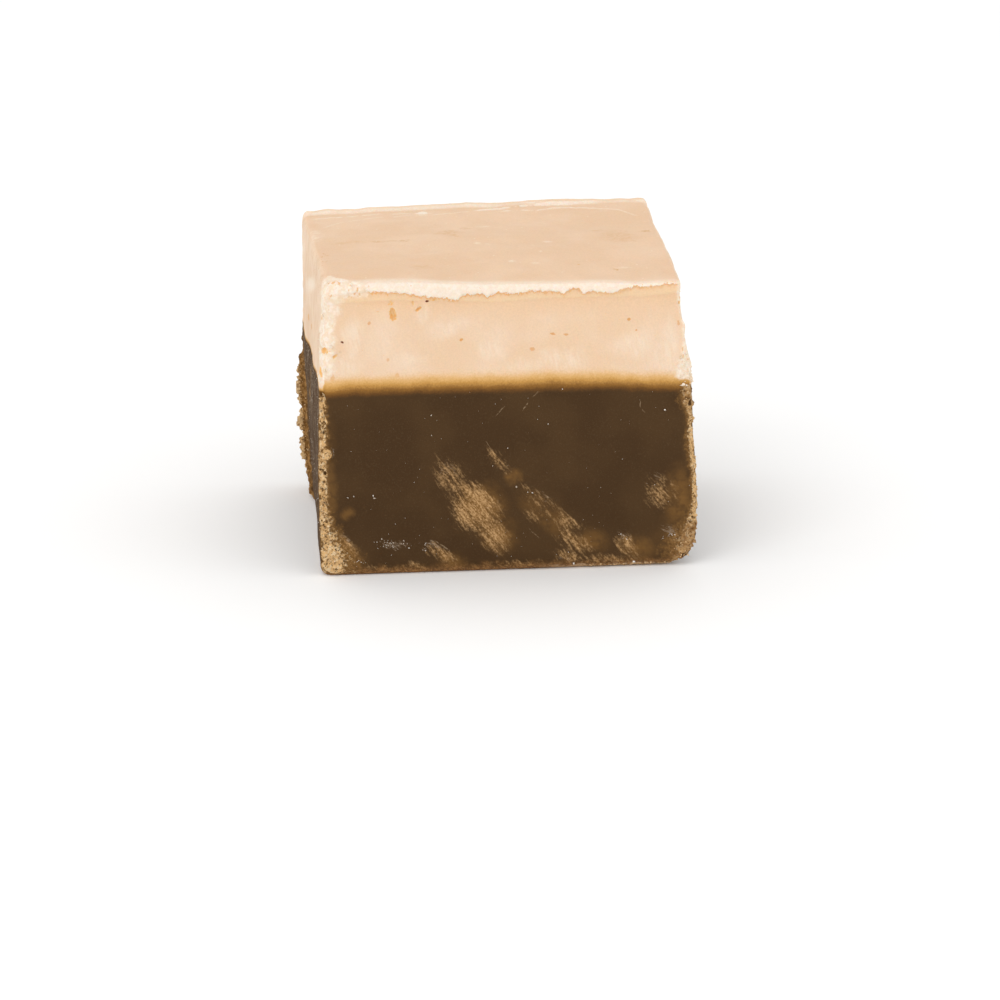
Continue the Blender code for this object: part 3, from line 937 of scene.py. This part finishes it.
def pale_fudge():
    """The pale layer: cloudy cream faces, a browner top, a white front lip and chalky edges."""
    finish = Finish("pale_fudge", 0.5, 0.25, glow=0.3)
    blurred, rise = seam_colour(finish)
    top, side, front, facing = map(finish.noted, ("top", "side", "front", "facing"))
    crease, chalk, pit, fold = map(finish.noted, ("crease", "chalk", "pit", "fold"))
    x, y, z = map(finish.axis, (0, 1, 2))

    # The cut faces: cream, with soft clouds that the knife drew out into upright drags
    grain = finish.noise(0.15, rough=0.6)
    drags = finish.noise(0.5, rough=0.6, turn=(0, -0.2, 0), stretch=(0.6, 1, 3.4))
    clouds = finish.noise(4.5, 2.0)
    body = finish.between(clouds, 0.38, 0.62, (242, 209, 175), (244, 214, 184))
    place, near = finish.warped(1.8, 2.2), finish.warped(0.3, 0.3)
    cloudy = finish.most(finish.ovals("front", CLOUDS, 0.8, place), finish.ease(clouds, 0.56, 0.74, 0.0, 0.4))
    body = finish.lay(body, (252, 233, 211), cloudy, finish.ease(drags, 0.34, 0.64, 0.35, 1.0))
    warm = finish.product(front, finish.ease(z, 22.6, 24.9), finish.ease(clouds, 0.36, 0.6, 0.4, 1.0))
    body = finish.lay(body, (242, 201, 158), warm, 0.75)

    # The poured top is a little browner, the sides duller
    poured = finish.between(finish.noise(6.0), 0.4, 0.65, (235, 198, 163), (239, 204, 171))
    rim = finish.sum(finish.ease(y, BACK - 2.2, BACK - 0.6), (finish.noise(2.0), 0.8))
    poured = finish.lay(poured, (242, 214, 180), finish.ease(rim, 0.8, 1.5, 0.0, 0.6))
    broken = finish.patches(0.5, 0.4, 0.6, 0.25, 1.0, rough=0.65)
    poured = finish.lay(poured, (219, 172, 122), finish.ovals("top", SMUDGES, 0.7, place), broken)
    broken = finish.patches(0.6, 0.35, 0.65, 0.1, 0.8, rough=0.6)
    poured = finish.lay(poured, (250, 230, 208), finish.ovals("top", POURED_WHITES, 0.8, near), broken)
    poured = finish.lay(poured, (251, 236, 216), finish.specks(1.1, 0.1, 0.5), 0.7)
    body = finish.lay(body, poured, top)
    pulled = finish.noise(0.7, 4.0, 0.6, turn=(0.35, 0, 0), stretch=(1, 1.6, 2.6))
    sided = finish.between(finish.sum(pulled, (clouds, 0.7)), 0.66, 1.04, (231, 196, 162), (240, 210, 180))
    body = finish.lay(body, sided, side, 0.85)
    freckled = finish.ease(finish.oval(FRECKLE_PLACE, (0, 0, 0), FRECKLE_REACH), 0.0, 0.45)
    freckles = finish.sum(finish.noise(0.32, 2.0, 0.7), (finish.noise(1.6, 2.0), 0.6))
    body = finish.lay(body, (212, 152, 90), freckled, finish.ease(freckles, 0.93, 1.0), 0.85)
    body = finish.lay(body, (250, 231, 210), fold, top, 0.8)
    dragged = finish.ovals("left", SIDE_DRAGS, 0.8, finish.warped(0.8, 0.8))
    body = finish.lay(body, (247, 228, 205), side, dragged)
    # The grooves' orange-brown is painted shade of shallow dips that have no relief
    grooves = finish.sum(finish.ovals("left", SIDE_GROOVES, 0.9, near), (finish.noise(0.6, 4.0, 0.75), 2.4))
    body = finish.lay(body, (224, 168, 104), side, finish.ease(grooves, 1.6, 2.1), 0.85)

    # The cream band over the crease; under the lip a warm band and an orange line, painted shade of the lip;
    # the white lip itself
    torn = finish.noise(0.4, rough=0.6)
    body = finish.lay(body, (245, 212, 172), finish.ease(crease, 0.3, 0.9, 0.0, 0.8))
    teeth = finish.noise(0.3, rough=0.65, stretch=(0.8, 1, 1.3))
    lip_rise = finish.sum(finish.noted("lip_rise"), (torn, 0.1), teeth, -0.39)
    # Painted shade under the lip: a warm band, then a strong orange line right under its edge, weaker to the
    # right
    below = finish.product(facing, finish.ease(lip_rise, 0.3, 0.5, 1.0, 0.0))
    body = finish.lay(body, (241, 197, 150), below, finish.ease(lip_rise, -0.35, 0.1, 0.0, 0.5))
    below = finish.product(below, finish.ease(x, 2.0, 9.0, 0.9, 0.4))
    body = finish.lay(body, (243, 182, 112), below, finish.ease(lip_rise, -0.05, 0.14))
    lip = finish.between(torn, 0.4, 0.6, (252, 239, 223), (250, 232, 212))
    body = finish.lay(body, lip, facing, finish.ease(lip_rise, 0.15, 0.21))

    # The chalky upright edges, and cracks in them painted orange as painted shade
    white = finish.sum(chalk, (finish.noise(0.9, 4.0, 0.65), 1.1))
    chalky = finish.between(torn, 0.36, 0.6, (253, 240, 224), (246, 224, 198))
    body = finish.lay(body, chalky, finish.ease(white, 0.66, 1.55, 0.0, 0.95))
    # Orange cracks: painted shade of small hollows, drawn in colour only
    cracks = finish.patches(0.6, 0.61, 0.68, rough=0.6, stretch=(0.6, 1, 1.5))
    body = finish.lay(body, (235, 184, 124), finish.ease(chalk, 0.25, 0.7), cracks, 0.8)

    # Pits with painted orange shade inside them, orange marks and dark specks
    # The orange inside the pits is painted shade of their hollows
    pitted = finish.ease(finish.sum(pit, (finish.noise(0.22, rough=0.7), 1.5)), 0.98, 1.14)
    body = finish.lay(body, finish.between(torn, 0.4, 0.6, (245, 186, 116), (248, 206, 150)), pitted)
    body = finish.lay(body, (228, 168, 106), finish.ovals("front", MARKS, 0.5, near))
    body = finish.lay(body, (112, 52, 26), finish.ovals("front", DARK_SPECKS, 0.3, near))
    flecks = finish.product(finish.specks(1.9, 0.15, 0.6), finish.patches(3.4, 0.62, 0.7, detail=1.0))
    body = finish.lay(body, (226, 172, 116), flecks, finish.ease(front, 0.2, 0.8, 1.0, 0.2))

    # The seam below, with chalk dust over its right end
    right_end = finish.ease(x, 13.4, 14.2)
    dusted = finish.product(right_end, finish.ease(white, 0.75, 1.2), finish.ease(rise, -0.8, -0.4))
    body = finish.lay(blurred, body, finish.most(finish.ease(rise, 0.7, 1.7), dusted))
    finish.put_in("Base Color", finish.shaded(body, finish.ease(grain, 0.3, 0.7, 0.965, 1.03)))
    finish.put_in("Subsurface Weight", finish.ease(rise, 0.6, 1.8, 0.0, 0.3))
    finish.put_in("Roughness", finish.ease(chalk, 0.0, 0.6, 0.5, 0.8))
    finish.put_in("Specular IOR Level", finish.ease(finish.most(side, top), 0.0, 1.0, 0.2, 0.06))
    finish.bump((grain, 0.012), (torn, 0.02), (drags, 0.03))
    return finish


# Smears of paler fudge on the dark front, as ovals
SMEARS = [
    (-4.7, 8.4, 4.6, 2.4, 0.95, 0.64), (-2.9, 5.9, 4.8, 3.1, 0.98, 1.15), (-1.3, 3.4, 3.4, 2.2, 1.05, 0.8),
    (-0.9, 10.2, 2.8, 0.8, 1, 0.66), (1.3, 7.9, 1.6, 0.6, 0.75, 0.4), (2.9, 6.2, 3.6, 1.5, 0.75, 0.56),
    (5.2, 4.4, 2.8, 1.4, 0.75, 0.62), (2.2, 4.8, 1.9, 1.2, 0.85, 0.5), (5.9, 2.5, 3.2, 1.6, 0.55, 0.78),
    (5.4, 1.3, 2.4, 1, 0.3, 0.75), (13.4, 6.9, 3, 2.6, 1.2, 0.6), (-5.9, 1.7, 2.7, 1.3, 0.6, 0.85),
    (-14.6, 2.3, 2.6, 2, 0.7, 1.1), (10.6, 2, 2.4, 1.5, 0.7, 0.8), (-8, 0.5, 2, 0.9, 0.4, 0.7),
    (15.3, 2.6, 2.2, 1.8, 0.6, 0.55), (9, 0.8, 4.4, 0.9, 0.05, 0.7), (-11.5, 0.6, 3.2, 0.8, 0, 0.5),
    (1, 0.6, 4.4, 0.8, 0, 0.55),
]
# Soft amber patches, where the smears sink into the dark fudge
AMBERS = [
    (0.45, 8.75, 1.1, 0.95, 0.3, 1.1), (7.4, 2.6, 2.2, 1.4, 0.3, 0.9), (15.2, 6.2, 2, 4.2, 0, 1),
    (-1.6, 6.4, 2.8, 1.9, 0.9, 0.9), (-0.8, 3.4, 2.4, 2.2, 0.9, 1), (11.7, 1.8, 2, 1.6, 0.3, 0.9),
    (-5, 1.1, 1.8, 1.3, 0.3, 0.9), (-14, 5.8, 1, 0.8, 0, 0.8), (-14.6, 1.6, 2.6, 1.9, 0.4, 0.9),
    (-15.7, 8, 0.9, 9, 0, 0.6), (4, 4.5, 2.8, 1.6, 0.8, 0.6), (14.6, 2.4, 2.6, 2.2, 0, 0.5),
    (2.6, 5.8, 3, 1.6, 0.75, 0.5), (16.4, 12, 1.2, 5, 0, 0.6),
]
# Greyish dusty streaks, where sugar dried on the cut
DUSTS = [
    (-10.1, 2.7, 2.6, 0.8, 0.12, 0.85), (10.3, 3, 1.6, 0.8, 0.4, 0.7), (14.3, 3.4, 1.5, 1, 0.5, 0.8),
    (-6.6, 2.6, 1.8, 0.6, 0.5, 0.8), (-5.4, 9.6, 2.4, 1.5, 0.95, 0.6), (3.2, 6.6, 2.6, 0.8, 0.8, 0.6),
    (5.4, 1, 2.6, 0.6, 0.1, 0.6), (10, 0.5, 4, 0.35, 0, 0.8), (-14.2, 3.4, 1.6, 0.9, 0.9, 0.8),
    (13.2, 8.4, 1.6, 0.8, 0.6, 0.6),
]
# Thin scratches
SCRATCHES = [
    (1.5, 15.15, 0.6, 0.07, -1, 0.8), (2.55, 16.3, 0.7, 0.07, -0.64, 0.7),
    (-0.67, 14.8, 0.8, 0.06, -0.86, 0.6), (11.6, 15.05, 0.45, 0.06, 1.5, 0.7),
    (-5.8, 2.5, 1.1, 0.08, 0.66, 0.9), (-1.7, 11.6, 1, 0.05, 1, 0.5), (2.3, 3.4, 0.9, 0.06, 0.8, 0.6),
    (11.9, 14.35, 0.3, 0.05, 0.9, 0.5),
]
# How the strands of the smears lean
STREAK_TURN = (0, 0.93, 0)


def dark_fudge():
    """The dark layer: a brown cut with tan smears, painted sheen and glints on its sides and a crumbly tan
    crust.
    """
    finish = Finish("dark_fudge", 0.45, 0.12)
    blurred, rise = seam_colour(finish)
    crust, side, front = map(finish.noted, ("crust", "side", "front"))
    fin, tip, pore = map(finish.noted, ("fin", "fin_tip", "pore"))
    x, z = map(finish.axis, (0, 2))
    elsewhere = finish.ease(front, 0.2, 0.8, 1.0, 0.0)

    brown, light_brown = shown(73, 52, 31, DARK_SHEEN), shown(80, 58, 35, DARK_SHEEN)
    body = finish.between(finish.noise(5.5, 2.0), 0.38, 0.64, brown, light_brown)
    grit = finish.noise(0.12, 2.0, 0.6)
    body = finish.lay(body, (104, 84, 58), finish.ease(grit, 0.5, 0.75, 0.0, 0.25))

    # Fibrous tan smears that run down to the right, over soft amber patches
    strands = finish.noise(0.3, 4.0, 0.65, turn=STREAK_TURN, stretch=(6.5, 1, 1))
    grain = finish.noise(0.14, rough=0.7, turn=STREAK_TURN, stretch=(1.7, 1, 1))
    pushed = finish.warped(1.1, 1.3, STREAK_TURN, (2.5, 1, 1))
    around = finish.product(finish.patches(3.2, 0.56, 0.74, detail=2.0), elsewhere)
    amber = finish.most(finish.ovals("front", AMBERS, 0.9, pushed), around)
    body = finish.lay(body, (122, 86, 42), amber, finish.patches(0.7, 0.3, 0.6, 0.4, 0.95))
    around = finish.product(finish.patches(4.6, 0.52, 0.8, rough=0.6), elsewhere)
    smear = finish.most(finish.ovals("front", SMEARS, 0.9, pushed), around)
    brushed = finish.ease(finish.sum((smear, 1.5), (strands, 2.7), (grain, 1.3)), 2.4, 3.75)
    brushed = finish.product(brushed, finish.ease(smear, 0.05, 0.4))
    tan = finish.between(finish.sum((grain, 0.7), (strands, 0.3)), 0.4, 0.62, (136, 99, 56), (202, 161, 112))
    body = finish.lay(body, tan, brushed, 0.95)
    fibres = finish.noise(0.13, rough=0.7, turn=(0, 0.5, 0), stretch=(4, 1, 1))
    dusty = finish.ovals("front", DUSTS, 0.9, pushed)
    dust = finish.ease(finish.sum(dusty, (fibres, 2.4)), 1.8, 2.5)
    body = finish.lay(body, (176, 154, 130), dust, finish.ease(dusty, 0.1, 0.5), 0.7)
    scratched = finish.ovals("front", SCRATCHES, 0.6, finish.warped(0.6, 0.25))
    body = finish.lay(body, (165, 140, 110), scratched, finish.ease(grain, 0.4, 0.55), 0.8)

    # The side cuts get a lighter, greyer colour as painted sheen, and fine upright painted glints
    lines = finish.noise(0.3, rough=0.65, stretch=(1, 1, 7))
    cut = finish.between(lines, 0.36, 0.68, shown(80, 60, 43, DARK_SHEEN), shown(108, 88, 69, DARK_SHEEN))
    fine, broad = finish.noise(0.16, rough=0.7, stretch=(1, 2.2, 1.5)), finish.noise(2.6, rough=0.6)
    glints = finish.sum(fine, (broad, 0.5), (z, 0.006))
    cut = finish.lay(cut, (184, 166, 144), finish.ease(glints, 0.84, 1.06, 0.0, 0.8))
    body = finish.lay(body, cut, side, finish.ease(brushed, 0.0, 1.0, 0.9, 0.3))

    # Amber-brown along the foot, mottled with crumbs, and made lighter there as painted light against the
    # shade of the rounded foot
    foot = finish.ease(finish.sum(z, (finish.noise(0.7), 1.2)), 0.7, 1.7, 1.0, 0.0)
    body = finish.lay(body, finish.between(grain, 0.4, 0.62, (116, 78, 38), (174, 127, 76)), foot, 0.9)
    foot_line = finish.ease(finish.sum(z, (finish.noise(0.6, rough=0.65), 1.2)), 0.75, 1.05, 1.0, 0.0)
    gritty = finish.ease(grit, 0.35, 0.55, 0.3, 0.9)
    body = finish.lay(body, (206, 172, 134), foot_line, finish.ease(x, 2.0, 6.0), gritty)

    # The tan crust, mottled and full of small dark gaps, over an amber rim
    grains = finish.noise(0.2, rough=0.7)
    blotches = finish.noise(0.7, 2.0)
    ragged_edge = finish.sum(crust, (finish.noise(0.45, 4.0, 0.65), 2.2))
    amber_rim = finish.between(grain, 0.4, 0.6, (106, 74, 36), (136, 98, 52))
    body = finish.lay(body, amber_rim, finish.ease(ragged_edge, 0.35, 1.05, 0.0, 0.9))
    crumbly = finish.between(grains, 0.38, 0.56, (122, 86, 46), (216, 173, 118))
    corner, right_half = finish.ease(z, 1.5, 5.0, 1.0, 0.0), finish.ease(x, 0.0, 8.0)
    lighter = finish.sum(blotches, (corner, 0.26), (right_half, 0.1))
    crumbly = finish.lay(crumbly, (234, 191, 134), finish.ease(lighter, 0.44, 0.68, 0.0, 0.85))
    single = finish.ease(finish.axis(0, finish.cells(0.17, "Color")), 0.7, 0.8)
    crumbly = finish.lay(crumbly, (236, 206, 162), single)
    crumbly = finish.lay(crumbly, (240, 206, 158), finish.ease(crust, 0.7, 1.0, 0.0, 0.5))
    gaps = finish.ease(grains, 0.37, 0.44, 0.95, 0.0)
    crumbly = finish.lay(crumbly, (60, 37, 17), gaps, finish.ease(z, 6.0, 10.0, 1.0, 0.7))
    foot_and_seam = finish.most(finish.ease(z, 3.2, 4.8, 1.0, 0.0), finish.ease(z, 13.2, 14.6, 0.0, 0.8))
    browned = finish.product(finish.ease(x, 11.0, 13.0), foot_and_seam)
    crumbly = finish.lay(crumbly, (122, 80, 38), browned, finish.ease(blotches, 0.34, 0.6, 0.9, 0.45))
    crumbly = finish.lay(crumbly, (58, 37, 18), finish.ease(pore, 0.25, 0.8, 0.0, 0.9))
    crusted = finish.ease(ragged_edge, 1.0, 1.35)
    body = finish.lay(body, crumbly, crusted)

    # The fin with its paler tips, and the seam above
    lumpy = finish.between(finish.noise(0.4, rough=0.6), 0.4, 0.62, (118, 82, 42), (168, 126, 76))
    lumpy = finish.lay(lumpy, (216, 180, 132), finish.ease(finish.sum((tip, 0.5), grains), 0.8, 1.0))
    finned = finish.product(fin, finish.patches(0.5, 0.3, 0.45, 0.5, 1.0, detail=2.0))
    body = finish.lay(body, lumpy, finned)
    crusted_end = finish.product(finish.ease(x, 13.6, 14.6), finish.ease(ragged_edge, 0.9, 1.3))
    by_seam = finish.ease(rise, -0.9, -0.35)
    body = finish.lay(body, blurred, by_seam, finish.ease(crusted_end, 0.0, 1.0, 1.0, 0.0))
    finish.put_in("Base Color", body)
    rough = finish.most(crusted, brushed, finned, finish.product(side, 0.8))
    finish.put_in("Roughness", finish.ease(rough, 0.0, 1.0, 0.45, 0.9))
    finish.put_in("Specular IOR Level", finish.ease(finish.most(rough, side), 0.0, 1.0, 0.12, 0.03))
    drawn, crumbled = finish.product(strands, brushed), finish.product(grains, crusted)
    finish.bump((grit, 0.008), (drawn, 0.03), (crumbled, 0.1))
    return finish


# Loose grains: dull and bright colour, roughness and gloss
GRAIN_LOOKS = {
    "crust_crumbs": ((150, 108, 62), (238, 203, 154), 0.85, 0.05),
    "sugar_specks": ((196, 178, 158), (255, 247, 236), 0.4, 0.2),
    "chalky_flakes": ((243, 216, 182), (251, 235, 214), 0.9, 0.05),
}


def grain_finish(name):
    """A finish for loose grains: each its own shade, with finer mottling."""
    dull, bright, roughness, gloss = GRAIN_LOOKS[name]
    finish = Finish(name, roughness, gloss)
    mottle = finish.noise(0.12, 2.0, 0.6)
    share = finish.sum((finish.noted("shade"), 0.7), (mottle, 0.5))
    finish.put_in("Base Color", finish.between(share, 0.2, 0.9, dull, bright))
    finish.bump((mottle, 0.02))
    return finish


# Bright sugar specks and two larger chips on the dark front: x and height
SUGAR_MARKS = [
    (-11.15, 3.33), (-9.21, 3.09), (-11.77, 7.1), (-11.86, 7.35), (-13.58, 7.34), (-14.11, 7.23),
    (-6.74, 14.51), (-1.37, 9.78), (-0.06, 11.37), (4.74, 16.6), (13.79, 14.42), (0.71, 7.8), (1.71, 7.27),
    (2.14, 7.19), (3.47, 13.51),
]
FOOT_CHIPS = [(5.85, 0.5), (11.2, 0.45)]
# Patches of fine specks on the dark front: x and height, half sizes and number of specks
GLINT_PATCHES = [
    (-9.6, 2.8, 2.4, 0.5, 44), (10.3, 2.8, 0.9, 0.35, 14), (14.4, 2.8, 0.7, 0.4, 16),
    (-13.2, 1.3, 1, 0.25, 10), (-7.3, 2.2, 0.5, 0.3, 8),
]
CRUMB_COUNT, FOOT_CRUMB_COUNT, SPECK_COUNT, FLAKE_COUNT = 1500, 160, 700, 110


def random_sizes(places, least, spread, power=2):
    """A random size for each place: mostly near the least, few near the largest."""
    return least + spread * rng.random(len(places)) ** power


def add_grains(pale, dark):
    """Crust crumbs, sugar specks and chalky flakes on the finished layers, in millimetres."""
    crumbs = [grain_shape(2, 0.9, seed, flat=0.8) for seed in (1.0, 4.0, 9.0, 13.0)]
    chips = [grain_shape(1, 0.8, seed, flat=0.7) for seed in (2.0, 6.0, 11.0)]
    p = points_of(dark)
    share = 1.0

    density = crust_weight(p) + 0.6 * ease(fin_weight(p), 0.1, 0.5)
    place, way = spots_on(dark, density, int(CRUMB_COUNT * share))
    size = random_sizes(place, 0.05, 0.15, 2.6)
    place = place + way * size[:, None] * 0.1
    along = rng.random(int(FOOT_CRUMB_COUNT * share))
    foot = np.stack([7.0 + 8.5 * along, 0.1 + 0.25 * rng.random(len(along))], 1)
    more, _ = spots_in_front(dark, foot)
    size = np.concatenate([size, random_sizes(more, 0.05, 0.13)])
    crust = scatter("crust_crumbs", crumbs, np.concatenate([place, more]), size)

    marks, out = spots_in_front(dark, SUGAR_MARKS)
    places, sizes = [marks + out * 0.01], [rng.uniform(0.11, 0.2, len(marks))]
    more, _ = spots_in_front(dark, FOOT_CHIPS)
    places.append(more)
    sizes.append(rng.uniform(0.26, 0.34, len(more)))
    for x, z, wide, tall, count in GLINT_PATCHES:
        more, _ = spots_in_front(dark, rng.normal((x, z), (wide * 0.5, tall * 0.5), (count, 2)))
        places.append(more)
        sizes.append(random_sizes(more, 0.03, 0.1))
    more, _ = spots_on(dark, ease(p[:, 2], 0.3, 0.6), int(SPECK_COUNT * share))
    places.append(more)
    sizes.append(random_sizes(more, 0.03, 0.05))
    sugar = scatter("sugar_specks", chips, np.concatenate(places), np.concatenate(sizes))

    p = points_of(pale)
    x, y, z = p.T
    by_seam = fade(z - seam_at(x, y), 1.5, 3.2)
    flaky_seam = ease(x, 14.2, 15.4) * by_seam * ease(FRONT + 1.5 - y, 0.0, 1.2)
    density = 0.02 * chalk_weight(p) ** 2 + 0.4 * flaky_seam
    place, way = spots_on(pale, density, int(FLAKE_COUNT * share))
    size = random_sizes(place, 0.06, 0.28, 2.4)
    flakes = scatter("chalky_flakes", crumbs, place + way * size[:, None] * 0.1, size)
    return crust, sugar, flakes


# Studio and camera, in metres

FLOOR_SIZE, FLOOR_DROP = 6, 0.00002
FLOOR_COLOURS = (0.965, 0.965, 0.96, 1), (0.975, 0.975, 0.97, 1)
# Soft round lights: name, place, width and power
LIGHTS = [("key", (-0.4, -0.5, 0.55), 0.5, 1.03), ("fill", (0.5, -0.35, 0.35), 0.5, 0.2)]
LIT_POINT = (0, 0, 0.013)
# The photo's view, in degrees, and the lens of its camera in millimetres
AZIMUTH, ELEVATION, LENS, FILM_WIDTH = -5.67, 17.2, 153.94, 36
# Where the camera stands, in millimetres: across, up and away from the point that it is set out from
CAMERA_PLACE, CAMERA_POINT = (0.85, 1.49, 390.6), (-0.15, 0, 0.6)


def studio():
    """A pale floor, soft white light from all round, a large soft light and a weaker one."""
    pick_only()
    bpy.ops.mesh.primitive_plane_add(size=FLOOR_SIZE, location=(0, 0, -FLOOR_DROP))
    floor = bpy.context.object
    floor.name = "pale_floor"
    finish = Finish("pale_floor", 0.9, 0.0)
    finish.put_in("Base Color", finish.mix(finish.noise(40.0, 2.0), *FLOOR_COLOURS))
    finish.give(floor)

    world = bpy.data.worlds.new("studio")
    bpy.context.scene.world = world
    world.use_nodes = True
    background = world.node_tree.nodes["Background"]
    background.inputs["Color"].default_value = (1.0, 1.0, 1.0, 1.0)
    background.inputs["Strength"].default_value = 1.0
    for name, place, width, power in LIGHTS:
        light = bpy.data.lights.new(name, "AREA")
        light.shape = "DISK"
        light.size = width
        light.energy = power
        lamp = bpy.data.objects.new(name, light)
        bpy.context.scene.collection.objects.link(lamp)
        lamp.location = place
        lamp.rotation_euler = (Vector(LIT_POINT) - lamp.location).to_track_quat("-Z", "Y").to_euler()
    bpy.context.scene.view_settings.view_transform = "Standard"


def photo_camera():
    """The camera at the photograph's viewing angle, distance and framing."""
    azimuth, elevation = math.radians(AZIMUTH), math.radians(ELEVATION)
    across = Vector((math.cos(azimuth), math.sin(azimuth), 0))
    level = math.cos(elevation)
    away = Vector((math.sin(azimuth) * level, -math.cos(azimuth) * level, math.sin(elevation)))
    up = away.cross(across)
    data = bpy.data.cameras.new("photo_camera")
    data.sensor_width = FILM_WIDTH
    data.lens = LENS
    data.clip_start = 0.01
    camera = bpy.data.objects.new("photo_camera", data)
    bpy.context.scene.collection.objects.link(camera)
    camera.matrix_world = Matrix((across, up, away)).transposed().to_4x4()
    aside, above, distance = CAMERA_PLACE
    camera.location = (across * aside + up * above + away * distance + Vector(CAMERA_POINT)) * MM
    bpy.context.scene.camera = camera


def main():
    """Builds the cube, its grains, the studio and the camera."""
    block, pores = rough_block()
    pale, dark = part_layers(block, seam_slab())
    for layer in (pale, dark):
        keep_inside(layer)
        note_places(layer, pores)
    crust, sugar, flakes = add_grains(pale, dark)
    for piece, finish, node, slot in (
        (pale, pale_fudge(), "pale_layer", "pale_fudge"),
        (dark, dark_fudge(), "dark_layer", "dark_fudge"),
        (crust, grain_finish("crust_crumbs"), None, "dark_fudge"),
        (sugar, grain_finish("sugar_specks"), None, "dark_fudge"),
        (flakes, grain_finish("chalky_flakes"), None, "pale_fudge"),
    ):
        to_metres(piece)
        bpy.ops.object.shade_smooth_by_angle(angle=math.radians(SMOOTH_ANGLE))
        finish.give(piece)
        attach(piece, "root")
        if node:
            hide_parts(node)
    studio()
    photo_camera()


main()
